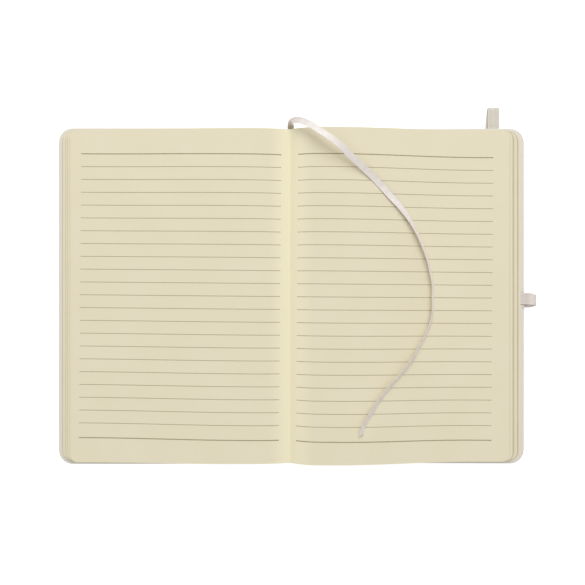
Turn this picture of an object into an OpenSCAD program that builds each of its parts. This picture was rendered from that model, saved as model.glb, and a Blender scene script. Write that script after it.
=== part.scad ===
// Notebook lying open: a wrapped case cover with rounded corners, a block of ruled
// leaves with a hump on each side of the gutter, a ribbon marker, an elastic closing
// band under the back cover and a pen loop at its fore-edge.
// X runs from the front cover to the back cover, Y from tail to head and Z up.
// The origin is the middle of the spine's underside.

/* [Cover] */
// Height of the covers from tail to head
cover_h = 210; // [180:1:240]
// Width of one cover from its fold line to its fore-edge
cover_w = 138.5; // [120:0.5:170]
// Radius of the covers' outer corners
cover_corner_r = 8.8; // [4:0.2:14]
// Thickness of the boards
board_t = 1.9; // [1.5:0.1:3]
// Thickness of the wrap
wrap_t = 0.5; // [0.3:0.05:0.8]
// Width of the wrap's turned-in edge
turn_in = 14; // [10:1:20]
// Thickness of the endpapers
endpaper_t = 0.15; // [0.1:0.05:0.3]
// Width of the wrap's rim that shows round the endpapers
rim_w = 2.5; // [1.5:0.1:5]

/* [Spine] */
// Distance between the two fold lines
spine_w = 15; // [14:0.5:24]
// Clearance from a fold line to the spine's own wrap
fold_gap = 0.4; // [0.3:0.05:0.8]
// Width of the thin joint between a fold line and its board
joint_w = 5; // [4:0.5:8]
// Width of the spine strip
strip_w = 11; // [8:0.5:12]
// Thickness of the spine strip
strip_t = 1; // [0.5:0.1:1.5]
// Thickness of the lining on the back of the block
lining_t = 0.3; // [0.2:0.05:0.5]

/* [Leaves] */
// How far the covers stand out past the leaves at head and tail
square_h = 2.5; // [1.5:0.1:5]
// How far the front cover stands out past its lowest leaf
left_square = 2.1; // [1:0.1:6]
// How far the back cover stands out past its lowest leaf
right_square = 3.4; // [1:0.1:6]
// Thickness of the leaves on the front cover
left_stack = 6.3; // [3:0.1:8]
// Thickness of the leaves on the back cover
right_stack = 3.3; // [2:0.1:6]
// How far the left fore-edge fans out from its top leaf to its lowest
left_fan = 7.4; // [3:0.1:12]
// How far the right fore-edge fans out from its top leaf to its lowest
right_fan = 7.4; // [3:0.1:12]
// Number of gathered steps in each fan
fan_steps = 4; // [3:1:8]
// Radius of the leaves' outer corners
leaf_corner_r = 8; // [3:0.5:12]
// Place of the gutter beside the middle of the spine
gutter_x = -0.8; // [-2:0.1:2]
// Height of the gutter over the back of the block
gutter_h = 7.7; // [6:0.1:9]
// Rise of the left hump over the flat leaves
left_hump = 3.9; // [2:0.1:8]
// Rise of the right hump over the flat leaves
right_hump = 9.6; // [4:0.1:12]
// Distance from the gutter to the left crest
left_crest = 32; // [20:1:45]
// Distance from the gutter to the right crest
right_crest = 24; // [18:1:40]
// Distance over which a hump falls back to the flat leaves
hump_fall = 93; // [60:1:100]
// Height of the hollow under the left leaves beside the spine
left_hollow = 2; // [1:0.1:3]
// Height of the hollow under the right leaves beside the spine
right_hollow = 6; // [2:0.1:7]
// Distance over which the left hollow closes
left_hollow_fall = 40; // [25:1:60]
// Distance over which the right hollow closes
right_hollow_fall = 68; // [40:1:75]

/* [Ruling] */
// Distance between two ruled lines
rule_pitch = 7.94; // [6:0.01:9]
// Distance between the last thin line and the heavy line under it
rule_foot = 9.1; // [6:0.1:12]
// Number of thin lines on a page
rule_count = 21; // [10:1:22]
// Width of a thin line
rule_w = 0.35; // [0.2:0.05:0.8]
// Width of the heavy line at the top and at the foot
heavy_w = 0.55; // [0.3:0.05:1.2]
// Thickness of the ink
ink_t = 0.06; // [0.04:0.01:0.1]
// Length of the left page's lines
left_rule_l = 124; // [90:0.5:126]
// Length of the right page's lines
right_rule_l = 121.5; // [90:0.5:126]
// Distance from the gutter to the left page's lines
left_rule_in = 6.2; // [4:0.1:8]
// Distance from the gutter to the right page's lines
right_rule_in = 4.2; // [3:0.1:8]
// Height of the left page's ruling over the middle of the leaf
left_rule_up = 0.2; // [-5:0.1:5]
// Height of the right page's ruling over the middle of the leaf
right_rule_up = -1.1; // [-5:0.1:5]
// Angle by which the left page's ruling is turned clockwise
left_rule_turn = 0.52; // [0:0.02:0.8]
// Angle by which the right page's ruling is turned clockwise
right_rule_turn = 0.42; // [0:0.02:0.8]

/* [Elastic band] */
// Width of the elastic band
elastic_w = 7; // [4:0.5:12]
// Thickness of the elastic band
elastic_t = 0.6; // [0.4:0.05:1]
// Slit between the band's two layers at its head end
elastic_slit = 0.2; // [0.1:0.05:0.4]
// Distance from the back cover's fore-edge to the middle of the band
elastic_in = 18.4; // [16:0.1:40]
// Distance from the cover's head and tail edges to the band's slots
elastic_slot_in = 8; // [5:0.5:13]
// How far the band's loose fold sticks out past the head edge
elastic_out = 13.7; // [5:0.1:25]
// Clearance between the band and the walls of its slots
slot_clear = 0.2; // [0.1:0.05:0.4]

/* [Pen loop] */
// Width of the pen loop along the fore-edge
loop_w = 7.2; // [5:0.1:12]
// Thickness of the pen loop's strip
loop_t = 0.5; // [0.3:0.05:0.7]
// Inside radius of the pen loop
loop_r = 3.15; // [3:0.05:5]
// Gap between the fore-edge and the round of the loop
loop_gap = 0.2; // [0.1:0.1:2]
// Place of the pen loop from the middle of the cover towards the head
loop_y = -1.6; // [-40:0.1:40]
// Length of the strip's ends under the endpaper
loop_tail = 11; // [6:0.5:11.5]

/* [Ribbon marker] */
// Width of the ribbon
ribbon_w = 4; // [2.5:0.1:6]
// Thickness of the ribbon
ribbon_t = 0.3; // [0.2:0.05:0.4]
// Clearance round the ribbon where it leaves the back of the block
ribbon_clear = 0.15; // [0.1:0.05:0.3]
// Length of the ribbon glued to the back of the block
ribbon_glued = 11; // [8:1:20]

/* [Hidden] */
$fn = 48;
past = 1;

// The turned-in wrap and the endpaper stay clear of the spine when a cover stands upright
layer_start = fold_gap + wrap_t;

// Heights inside a cover, over its underside
board_top = wrap_t + board_t;
cover_t = board_top + wrap_t;
hair = 0.02;
leaves_z = cover_t + endpaper_t + hair;
fold_x = spine_w / 2;

// The band's two layers lift the back cover's fore-edge off the table
elastic_u = cover_w - elastic_in;
elastic_low = 2 * elastic_t + elastic_slit;
lift = asin(elastic_low / (elastic_u - elastic_w / 2));

// The block's back, glued to its lining over the turned-in ends of the spine's wrap
strip_top = wrap_t + strip_t;
lining_z = strip_top + wrap_t;
back_z = lining_z + lining_t;
back_half = (left_stack + right_stack) / 2;
leaf_h = cover_h - 2 * square_h;
gutter_z = back_z + gutter_h;

// The left page is side -1 and the right page side 1, and u is the distance outward
// from the middle of the spine
function stack(side) = side < 0 ? left_stack : right_stack;
function hump(side) = side < 0 ? left_hump : right_hump;
function crest(side) = side < 0 ? left_crest : right_crest;
function fan(side) = side < 0 ? left_fan : right_fan;
function hollow(side) = side < 0 ? left_hollow : right_hollow;
function hollow_fall(side) = side < 0 ? left_hollow_fall : right_hollow_fall;
function gutter_u(side) = side * gutter_x;
function low_edge(side) = fold_x + cover_w - (side < 0 ? left_square : right_square);
function top_edge(side) = low_edge(side) - fan(side);
function beyond(side) = low_edge(side) + past;
function cover_z(side, u) = leaves_z + (side < 0 ? 0 : (u - fold_x) * tan(lift));

// A ridge rises steeply from its start to its crest and falls back in a half wave
rise_power = 3;
function ridge_rise(d, from, to, peak) = to - (to - from) * pow(1 - d / peak, rise_power);
function ridge_fall(d, peak, fall) = pow(cos(90 * min(1, (d - peak) / fall)), 2);

function crest_z(side) =
    cover_z(side, crest(side) + gutter_u(side)) + stack(side) + hump(side);
function page_z(side, d) = d < crest(side)
    ? ridge_rise(d, gutter_z, crest_z(side), crest(side))
    : cover_z(side, d + gutter_u(side)) + stack(side)
        + hump(side) * ridge_fall(d, crest(side), hump_fall);

hollow_peak = 16;
function hollow_top(side) = cover_z(side, back_half + hollow_peak) + hollow(side);
function under_z(side, e) = e < hollow_peak
    ? ridge_rise(e, back_z, hollow_top(side), hollow_peak)
    : cover_z(side, e + back_half) + hollow(side) * ridge_fall(e, hollow_peak, hollow_fall(side));

// Points along the pages, closer together beside the gutter
page_points = 26;
under_points = 16;
closer = 1.5;
function spread(i, count, reach) = reach * pow(i / count, closer);
function page_line(side) = [
    for (i = [0:page_points])
        let (d = spread(i, page_points, beyond(side) - gutter_u(side)))
        [d + gutter_u(side), page_z(side, d)]
];
function under_line(side) = [
    for (i = [0:under_points])
        let (e = spread(i, under_points, hollow_peak + hollow_fall(side)))
        [e + back_half, under_z(side, e)]
];
function reversed(list) = [for (i = [len(list) - 1:-1:0]) list[i]];

page_lines = [page_line(-1), page_line(1)];
function page_of(side) = page_lines[side < 0 ? 0 : 1];

// The plan of one panel with two rounded outer corners
module panel_plan(from_u, to_u, half_h, corner_r) {
    translate([from_u, -half_h]) square([to_u - corner_r - from_u, 2 * half_h]);
    translate([from_u, corner_r - half_h]) square([to_u - from_u, 2 * (half_h - corner_r)]);
    for (end = [-1, 1])
        translate([to_u - corner_r, end * (half_h - corner_r)]) circle(corner_r);
}

// A plate of the cover's outline set in from its edges
module cover_plate(inset, from_u, bottom, top) {
    translate([0, 0, bottom])
        linear_extrude(top - bottom)
            panel_plan(from_u, cover_w - inset, cover_h / 2 - inset, cover_corner_r - inset);
}

// A block between two heights, as wide as stated and even about the middle of Y
module slab(from_u, to_u, half_h, bottom, top) {
    translate([from_u, -half_h, bottom]) cube([to_u - from_u, 2 * half_h, top - bottom]);
}

// A profile in X and Z, run along Y about the middle
module run_along_y(length) {
    rotate([90, 0, 0]) linear_extrude(length, center = true) children();
}

// Places of the covers, whose own X starts at their fold line
module at_front() {
    mirror([1, 0, 0]) translate([fold_x, 0, 0]) children();
}

module at_back() {
    translate([fold_x, 0, wrap_t]) rotate([0, -lift, 0]) translate([0, 0, -wrap_t]) children();
}

inner_half = cover_h / 2 - turn_in;
inner_edge = cover_w - turn_in;

// One cover's wrap: outside skin, edges, and the edges turned in over board and joint
module cover_wrap() {
    difference() {
        cover_plate(0, 0, 0, cover_t);
        cover_plate(wrap_t, joint_w, wrap_t, board_top);
        slab(-past, inner_edge, inner_half, wrap_t, cover_t + past);
        slab(-past, joint_w - wrap_t, cover_h, 2 * wrap_t, cover_t + past);
        slab(-past, layer_start, cover_h, wrap_t, cover_t + past);
    }
}

module cover_board() {
    cover_plate(wrap_t, joint_w, wrap_t, board_top);
}

// The endpaper follows the steps of what it is pasted to
module cover_endpaper() {
    difference() {
        cover_plate(rim_w, layer_start, wrap_t, cover_t + endpaper_t);
        cover_wrap();
        cover_board();
        slab(-past, joint_w - endpaper_t, inner_half - endpaper_t, wrap_t + endpaper_t, cover_h);
        slab(-past, joint_w - wrap_t - endpaper_t, cover_h, 2 * wrap_t + endpaper_t, cover_h);
        slab(-past, inner_edge - endpaper_t, inner_half - endpaper_t, board_top + endpaper_t, cover_h);
    }
}

// Heights and places of the elastic band in the back cover's own frame
slot_head_y = cover_h / 2 - elastic_slot_in;
slot_tail_y = -slot_head_y;
fold_end_y = cover_h / 2 + elastic_out;

module elastic_slots() {
    for (y = [slot_head_y, slot_tail_y - elastic_t])
        translate([elastic_u - elastic_w / 2 - slot_clear, y - slot_clear, -past])
            cube([elastic_w + 2 * slot_clear, elastic_t + 2 * slot_clear, board_top + past]);
}

module elastic_run(from_y, to_y, bottom, top) {
    translate([elastic_u - elastic_w / 2, from_y, bottom])
        cube([elastic_w, to_y - from_y, top - bottom]);
}

// The band's upper layer, its fold past the head edge, its lower layer and its two ends
module elastic_band() {
    fold_r = elastic_low / 2;
    fold_y = fold_end_y - fold_r;
    color("#D4D0C3") at_back() {
        elastic_run(slot_head_y, fold_y, -elastic_t, 0);
        elastic_run(slot_tail_y - elastic_t, fold_y, -elastic_low, elastic_t - elastic_low);
        elastic_run(slot_head_y, slot_head_y + elastic_t, -elastic_t, board_top);
        elastic_run(slot_tail_y - elastic_t, slot_tail_y, -elastic_low, board_top);
        translate([elastic_u, fold_y, -fold_r]) rotate([0, 90, 0]) difference() {
            cylinder(h = elastic_w, r = fold_r, center = true);
            cylinder(h = elastic_w + past, r = elastic_slit / 2, center = true);
            translate([-fold_r, -elastic_low, -elastic_w])
                cube([elastic_low, elastic_low, 2 * elastic_w]);
        }
    }
}

// The pen loop's two ends lie in a pocket of the board and climb over the rim
loop_pair = 2 * loop_t;
pocket_z = cover_t - loop_pair;
ramp_start = cover_w - rim_w + endpaper_t;
ramp_end = ramp_start + 1.5 * loop_pair;
loop_out_r = loop_r + loop_t;
loop_u = cover_w + loop_gap + loop_out_r;
loop_z = cover_t + loop_t;

module loop_pocket() {
    translate([0, loop_y, 0]) run_along_y(loop_w) polygon([
        [ramp_start - loop_tail, pocket_z], [ramp_start, pocket_z], [ramp_end, cover_t],
        [ramp_end, cover_t + past], [ramp_start - loop_tail, cover_t + past]
    ]);
}

module loop_ends() {
    run_along_y(loop_w) polygon([
        [ramp_start - loop_tail, pocket_z], [ramp_start, pocket_z], [ramp_end, cover_t],
        [loop_u - loop_r - loop_t / 2, cover_t], [loop_u - loop_r - loop_t / 2, cover_t + loop_pair],
        [ramp_end, cover_t + loop_pair], [ramp_start, cover_t],
        [ramp_start - loop_tail, cover_t]
    ]);
}

module pen_loop() {
    color("#D7CEC6") at_back() translate([0, loop_y, 0]) difference() {
        union() {
            loop_ends();
            translate([loop_u, 0, loop_z]) rotate([90, 0, 0])
                cylinder(h = loop_w, r = loop_out_r, center = true);
        }
        translate([loop_u, 0, loop_z]) rotate([90, 0, 0])
            cylinder(h = loop_w + past, r = loop_r, center = true);
    }
}

module front_wrap() {
    color("#DCD8CC") at_front() cover_wrap();
}

module front_board() {
    color("#A89F8C") at_front() cover_board();
}

module front_endpaper() {
    color("#E2DAC2") at_front() cover_endpaper();
}

module back_wrap() {
    color("#DCD8CC") at_back() difference() {
        cover_wrap();
        elastic_slots();
        loop_pocket();
    }
}

module back_board() {
    color("#A89F8C") at_back() difference() {
        cover_board();
        elastic_slots();
        loop_pocket();
    }
}

module back_endpaper() {
    color("#E2DAC2") at_back() cover_endpaper();
}

// The spine's wrap lies flat and is turned in over the strip at head and tail
module spine_wrap() {
    half_w = fold_x - fold_gap;
    color("#DCD8CC") difference() {
        slab(-half_w, half_w, cover_h / 2, 0, lining_z);
        slab(-strip_w / 2, strip_w / 2, cover_h / 2 - wrap_t, wrap_t, strip_top);
        slab(-half_w - past, half_w + past, inner_half, wrap_t, lining_z + past);
        for (side = [-1, 1])
            translate([side * (strip_w / 2 + wrap_t + half_w), 0, 0])
                slab(-half_w, half_w, cover_h, 2 * wrap_t, lining_z + past);
    }
}

module spine_strip() {
    color("#A89F8C") slab(-strip_w / 2, strip_w / 2, cover_h / 2 - wrap_t, wrap_t, strip_top);
}

module spine_lining() {
    color("#E8E4D8") slab(-back_half, back_half, leaf_h / 2, lining_z, back_z);
}

// A profile of one side, longer than the leaves at head and tail
module side_profile(side, outline) {
    run_along_y(leaf_h + 2 * past) polygon([for (p = outline) [side * p[0], p[1]]]);
}

// The pages of one side with every leaf down to the block's back
module pages(side) {
    outline = concat(
        [[gutter_u(side), back_z]], under_line(side),
        [[beyond(side), cover_z(side, beyond(side))]], reversed(page_of(side))
    );
    intersection() {
        side_profile(side, outline);
        union() for (step = [1:fan_steps]) fan_step(side, step);
    }
}

// The upright outline of the leaves whose fore-edge lies at the stated distance
module leaf_plan(side, edge) {
    mirror([side < 0 ? 1 : 0, 0, 0])
        translate([0, 0, -2 * past]) linear_extrude(3 * crest_z(side))
            panel_plan(-crest(side), edge, leaf_h / 2, leaf_corner_r);
}

// One gathered step of the fan: the leaves up to a share of the stack, or all of them
module fan_step(side, step) {
    whole = step == fan_steps;
    rise = whole ? 2 * hump(side) + stack(side) : stack(side) * step / fan_steps;
    inner = whole ? -crest(side) : top_edge(side) - 2 * leaf_corner_r;
    edge = low_edge(side) - fan(side) * (step - 1) / (fan_steps - 1);
    intersection() {
        leaf_plan(side, edge);
        side_profile(side, [
            [inner, -past], [beyond(side), -past],
            [beyond(side), cover_z(side, beyond(side)) + rise],
            [inner, cover_z(side, inner) + rise]
        ]);
    }
}

ribbon_slot_z = back_z + ribbon_t + 2 * ribbon_clear;
ribbon_x = -0.5;

module page_block() {
    slot_w = ribbon_w + 2 * ribbon_clear;
    color("#E6DDC4") difference() {
        union() for (side = [-1, 1]) pages(side);
        translate([ribbon_x - slot_w / 2, leaf_h / 2 - ribbon_glued, 0])
            cube([slot_w, ribbon_glued + past, ribbon_slot_z]);
    }
}

// One ruled line along the page, whose points are those of the page under it
module ruled_line(side, from_u, length, y, width, turn) {
    page = page_of(side);
    to_u = from_u + length;
    stops = concat([from_u], [for (p = page) if (p[0] > from_u && p[0] < to_u) p[0]], [to_u]);
    under = [for (u = stops) [side * u, lookup(u, page) + hair / 2]];
    over = [for (p = reversed(under)) [p[0], p[1] + ink_t]];
    middle_x = side * (from_u + length / 2);
    translate([middle_x, y, 0]) rotate([0, 0, -turn]) translate([-middle_x, 0, 0])
        run_along_y(width) polygon(concat(under, over));
}

// The whole ruling of a page, turned clockwise about its middle
module ruling(side, rule_in, length, up, turn) {
    rule_h = rule_pitch * rule_count + rule_foot;
    from_u = gutter_u(side) + rule_in;
    for (i = [0:rule_count + 1]) {
        down = i <= rule_count ? i * rule_pitch : rule_h;
        y = rule_h / 2 - down;
        heavy = i == 0 || i > rule_count;
        ruled_line(side, from_u + side * y * sin(turn), length, up + y, heavy ? heavy_w : rule_w, turn);
    }
}

module left_ruling() {
    color("#BFB597") ruling(-1, left_rule_in, left_rule_l, left_rule_up, left_rule_turn);
}

module right_ruling() {
    color("#BFB597") ruling(1, right_rule_in, right_rule_l, right_rule_up, right_rule_turn);
}

// The ribbon's route: place, and the angle by which its width is turned out of level
ribbon_route = [
    [-0.5, 92, 2.62, 0], [-0.5, 102.6, 2.62, 0], [-0.5, 105, 4.2, 0], [-0.5, 106.2, 8, 0],
    [0, 107, 13, 0], [2, 107, 17, 0], [4.5, 106.5, 19, 0], [8, 105, 20.5, 0],
    [11.5, 103, 21.5, 0], [15, 100.5, 22.5, 0], [23, 95, 23.5, 0], [30, 90, 22.5, 0],
    [34.5, 85.5, 21, 0], [43, 78.5, 18, 0], [51.5, 71, 15.4, 5], [59, 63, 14.4, 12],
    [66.5, 55, 13.6, 25], [72.5, 47, 13.1, 42], [77, 39, 12.8, 55], [80.5, 31, 12.4, 60],
    [83.5, 23, 12, 62], [85.5, 15, 11.7, 62], [87, 7, 11.6, 62], [87, -1, 11.5, 62],
    [87, -9, 11.6, 62], [85.5, -17, 11.7, 62], [82, -25, 12.1, 60], [78, -32, 12.7, 58],
    [75.5, -37, 13.2, 56], [69.5, -45, 13.9, 55], [66, -49, 14.4, 55], [59, -56.5, 15.3, 52],
    [53.5, -63.5, 16, 50], [47.5, -73, 16.6, 48], [43.5, -80, 16.9, 46], [42.5, -85, 16.9, 45]
];
ring_steps = 2;
ring_count = (len(ribbon_route) - 1) * ring_steps + 1;
ribbon_section = [
    [0.5, 0.25], [0.47, 0.5], [-0.47, 0.5], [-0.5, 0.25],
    [-0.5, -0.25], [-0.47, -0.5], [0.47, -0.5], [0.5, -0.25]
];
sides = len(ribbon_section);

function route_at(i) = ribbon_route[max(0, min(len(ribbon_route) - 1, i))];
function blended(a, b, c, d, t) = 0.5 * (
    2 * b + (c - a) * t + (2 * a - 5 * b + 4 * c - d) * t * t + (3 * b - a - 3 * c + d) * t * t * t
);
function route_point(k) =
    let (i = min(floor(k / ring_steps), len(ribbon_route) - 2), t = k / ring_steps - i)
    blended(route_at(i - 1), route_at(i), route_at(i + 1), route_at(i + 2), t);
function place_of(p) = [p[0], p[1], p[2]];
function unit(v) = v / norm(v);

route = [for (k = [0:ring_count - 1]) route_point(k)];
function along(k) = unit(
    place_of(route[min(k + 1, ring_count - 1)]) - place_of(route[max(k - 1, 0)])
);
function level_side(k) = unit(cross(along(k), [0, 0, 1]));
function wide(k) =
    let (flat = level_side(k), up = cross(flat, along(k)), turn = route[k][3])
    flat * cos(turn) + up * sin(turn);
function ring(k) =
    let (width = wide(k), thick = cross(along(k), width))
    [for (s = ribbon_section)
        place_of(route[k]) + width * s[0] * ribbon_w + thick * s[1] * ribbon_t];

module ribbon_marker() {
    last = (ring_count - 1) * sides;
    color("#E4DCD3") polyhedron(
        points = [for (k = [0:ring_count - 1]) each ring(k)],
        faces = concat(
            [for (j = [1:sides - 2]) [0, j + 1, j]],
            [for (j = [1:sides - 2]) [last, last + j, last + j + 1]],
            [for (k = [0:ring_count - 2], j = [0:sides - 1], half = [0, 1])
                let (a = k * sides + j, b = k * sides + (j + 1) % sides)
                half == 0 ? [a, b, b + sides] : [a, b + sides, a + sides]]
        )
    );
}

spine_wrap();
spine_strip();
spine_lining();
page_block();
left_ruling();
right_ruling();
ribbon_marker();
front_wrap();
front_board();
front_endpaper();
back_wrap();
back_board();
back_endpaper();
elastic_band();
pen_loop();
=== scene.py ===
import math
import random

import bmesh
import bpy
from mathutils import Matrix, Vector, noise


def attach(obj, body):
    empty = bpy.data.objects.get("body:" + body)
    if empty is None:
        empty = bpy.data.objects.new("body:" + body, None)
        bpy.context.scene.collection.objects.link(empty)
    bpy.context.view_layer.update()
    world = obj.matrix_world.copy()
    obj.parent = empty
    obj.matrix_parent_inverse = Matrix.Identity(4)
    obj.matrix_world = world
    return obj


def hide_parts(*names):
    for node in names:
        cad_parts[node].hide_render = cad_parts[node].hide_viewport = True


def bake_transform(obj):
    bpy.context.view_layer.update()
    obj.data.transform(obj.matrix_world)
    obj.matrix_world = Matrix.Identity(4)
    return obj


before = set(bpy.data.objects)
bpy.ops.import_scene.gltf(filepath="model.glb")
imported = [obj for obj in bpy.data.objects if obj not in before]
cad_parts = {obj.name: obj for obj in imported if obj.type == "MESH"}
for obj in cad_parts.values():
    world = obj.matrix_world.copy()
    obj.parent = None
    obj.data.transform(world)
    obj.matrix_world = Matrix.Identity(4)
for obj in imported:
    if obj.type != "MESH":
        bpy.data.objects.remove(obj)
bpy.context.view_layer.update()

mm = 0.001
random.seed(12)

# The back cover lies on the two layers of the elastic band, so it is turned up a little
lift = math.asin(1.4 / 116.6)
foldX = 7.5
foldZ = 0.5


# Camera, straight above the open book
cameraView = dict(x=0.6, y=2.2, height=400, lens=38.8)


def makeCamera():
    data = bpy.data.cameras.new("camera")
    data.lens = cameraView["lens"]
    data.sensor_width = 36
    data.clip_start = 0.01
    camera = bpy.data.objects.new("camera", data)
    camera.location = (cameraView["x"] * mm, cameraView["y"] * mm, cameraView["height"] * mm)
    bpy.context.scene.collection.objects.link(camera)
    bpy.context.scene.camera = camera


makeCamera()
print("camera made")


# Helpers for colours, nodes and meshes

def linear(hexColour):
    parts = [int(hexColour[i:i + 2], 16) / 255 for i in (1, 3, 5)]
    return [p / 12.92 if p <= 0.04045 else ((p + 0.055) / 1.055) ** 2.4 for p in parts] + [1]


def addNode(tree, kind, settings=None, links=None):
    # settings set a socket where one has that name or number, and otherwise the node's own value
    node = tree.nodes.new(kind)
    for key, value in (settings or {}).items():
        if isinstance(key, int) or key in node.inputs:
            node.inputs[key].default_value = value
        else:
            setattr(node, key, value)
    for key, socket in (links or {}).items():
        tree.links.new(socket, node.inputs[key])
    return node


def startMaterial(name, shaderValues):
    material = bpy.data.materials.new(name)
    material.use_nodes = True
    tree = material.node_tree
    tree.nodes.clear()
    shader = addNode(tree, "ShaderNodeBsdfPrincipled", shaderValues)
    addNode(tree, "ShaderNodeOutputMaterial", {}, {"Surface": shader.outputs["BSDF"]})
    return material, tree, shader


def makeMesh(name, points, faces, materials, faceMaterials=None, faceUvs=None, sharp=35):
    # points are in mm, and faceUvs gives each face's corners on the sheet, in mm too
    mesh = bpy.data.meshes.new(name)
    mesh.from_pydata([[c * mm for c in p] for p in points], [], faces)
    if faceUvs:
        layer = mesh.uv_layers.new(name="sheet")
        flat = [c for face in faceUvs for corner in face for c in corner]
        layer.data.foreach_set("uv", flat)
    for material in materials:
        mesh.materials.append(material)
    if faceMaterials:
        mesh.polygons.foreach_set("material_index", faceMaterials)
    work = bmesh.new()
    work.from_mesh(mesh)
    bmesh.ops.recalc_face_normals(work, faces=work.faces)
    work.to_mesh(mesh)
    work.free()
    mesh.shade_smooth()
    mesh.set_sharp_from_angle(angle=math.radians(sharp))
    piece = bpy.data.objects.new(name, mesh)
    bpy.context.scene.collection.objects.link(piece)
    return piece


def sweep(name, rings, ringUvs, material, sharp=50):
    # a strip made of closed rings of points, one after another, with its two ends closed
    count = len(rings[0])
    points = [p for ring in rings for p in ring]
    faces, uvs = [], []
    for i in range(len(rings) - 1):
        for j in range(count):
            k = (j + 1) % count
            faces.append((i * count + j, i * count + k, (i + 1) * count + k, (i + 1) * count + j))
            a, b = ringUvs[i], ringUvs[i + 1]
            uvs.append((a[j], a[j + 1], b[j + 1], b[j]))
    last = (len(rings) - 1) * count
    faces.append(tuple(range(count)))
    uvs.append(tuple(ringUvs[0][:count]))
    faces.append(tuple(last + j for j in range(count)))
    uvs.append(tuple(ringUvs[-1][:count]))
    return makeMesh(name, points, faces, [material], None, uvs, sharp)


def curveThrough(points, steps):
    # a smooth curve through the points, any number of values in each
    fine = []
    for i in range(len(points) - 1):
        a, b = points[max(i - 1, 0)], points[i]
        c, d = points[i + 1], points[min(i + 2, len(points) - 1)]
        for s in range(steps):
            t = s / steps
            fine.append([
                0.5 * (2 * q + (r - p) * t + (2 * p - 5 * q + 4 * r - w) * t * t
                       + (3 * q - p - 3 * r + w) * t ** 3)
                for p, q, r, w in zip(a, b, c, d)
            ])
    fine.append(list(points[-1]))
    return fine


# Ribbon marker: glued to the back of the block, up past the head and down over the right page
ribbonLook = dict(
    width=4, thickness=0.3, length=272, cutSlant=1.6, rib=0.5,
    colour="#F0E9E4", shadeColour="#DCD1CA", roughness=0.4,
)
ribbonRoute = [
    [-0.5, 92, 2.62, 0], [-0.5, 102.6, 2.62, 0], [-0.5, 105, 4.2, 0], [-0.5, 106.2, 8, 0],
    [0, 107, 13, 0], [2, 107, 17, 0], [4.5, 106.5, 19, 0], [8, 105, 20.5, 0],
    [11.5, 103, 21.5, 4], [15, 100.5, 22.5, 8], [23, 95, 23.5, 10], [30, 90, 22.5, 2],
    [34.5, 85.5, 21, -8], [43, 78.5, 18, -12], [51.5, 71, 15.4, -10], [59, 63, 14.4, 2],
    [66.5, 55, 13.6, 20], [72.5, 47, 13.1, 42], [77, 39, 12.8, 55], [80.5, 31, 12.4, 60],
    [83.5, 23, 12, 62], [85.5, 15, 11.7, 62], [87, 7, 11.6, 62], [87, -1, 11.5, 62],
    [87, -9, 11.6, 62], [85.5, -17, 11.7, 62], [82, -25, 12.1, 60], [78, -32, 12.7, 58],
    [75.5, -37, 13.2, 56], [69.5, -45, 13.9, 55], [66, -49, 14.4, 55], [59, -56.5, 15.3, 52],
    [53.5, -63.5, 16, 50], [47.5, -73, 16.6, 48], [43.5, -80, 16.9, 46], [42.5, -85, 16.9, 45],
]


def wovenSatin(name):
    # woven polyester satin: long floats give a silky light along the ribbon, with fine ribs across
    material, tree, shader = startMaterial(name, {
        "Roughness": ribbonLook["roughness"], "IOR": 1.5, "Sheen Weight": 0.35,
        "Sheen Roughness": 0.4, "Anisotropic": 0.5, "Specular IOR Level": 0.8,
    })
    sheet = addNode(tree, "ShaderNodeUVMap", {"uv_map": "sheet"})
    parts = addNode(tree, "ShaderNodeSeparateXYZ", {}, {0: sheet.outputs["UV"]})
    # weft ribs are 0.2 mm on the real one, and drawn coarser to show
    ribPhase = addNode(tree, "ShaderNodeMath", {
        "operation": "MULTIPLY", 1: 2 * math.pi / ribbonLook["rib"]}, {0: parts.outputs["X"]})
    rib = addNode(tree, "ShaderNodeMath", {"operation": "SINE"}, {0: ribPhase.outputs[0]})
    floatPhase = addNode(tree, "ShaderNodeMath", {
        "operation": "MULTIPLY", 1: 2 * math.pi / 0.4}, {0: parts.outputs["Y"]})
    floats = addNode(tree, "ShaderNodeMath", {"operation": "SINE"}, {0: floatPhase.outputs[0]})
    weave = addNode(tree, "ShaderNodeMath", {
        "operation": "MULTIPLY_ADD", 1: 0.4}, {0: floats.outputs[0], 2: rib.outputs[0]})
    slub = addNode(tree, "ShaderNodeTexNoise", {
        "Scale": 0.35, "Detail": 3, "noise_dimensions": "2D"}, {"Vector": sheet.outputs["UV"]})
    shade = addNode(tree, "ShaderNodeMath", {
        "operation": "MULTIPLY_ADD", 1: 0.16, "use_clamp": True},
        {0: weave.outputs[0], 2: slub.outputs["Fac"]})
    colour = addNode(tree, "ShaderNodeMix", {
        "data_type": "RGBA", 6: linear(ribbonLook["colour"]),
        7: linear(ribbonLook["shadeColour"])}, {0: shade.outputs[0]})
    bump = addNode(tree, "ShaderNodeBump", {
        "Strength": 0.5, "Distance": 0.00003}, {"Height": weave.outputs[0]})
    tree.links.new(colour.outputs[2], shader.inputs["Base Color"])
    tree.links.new(bump.outputs["Normal"], shader.inputs["Normal"])
    return material


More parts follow.
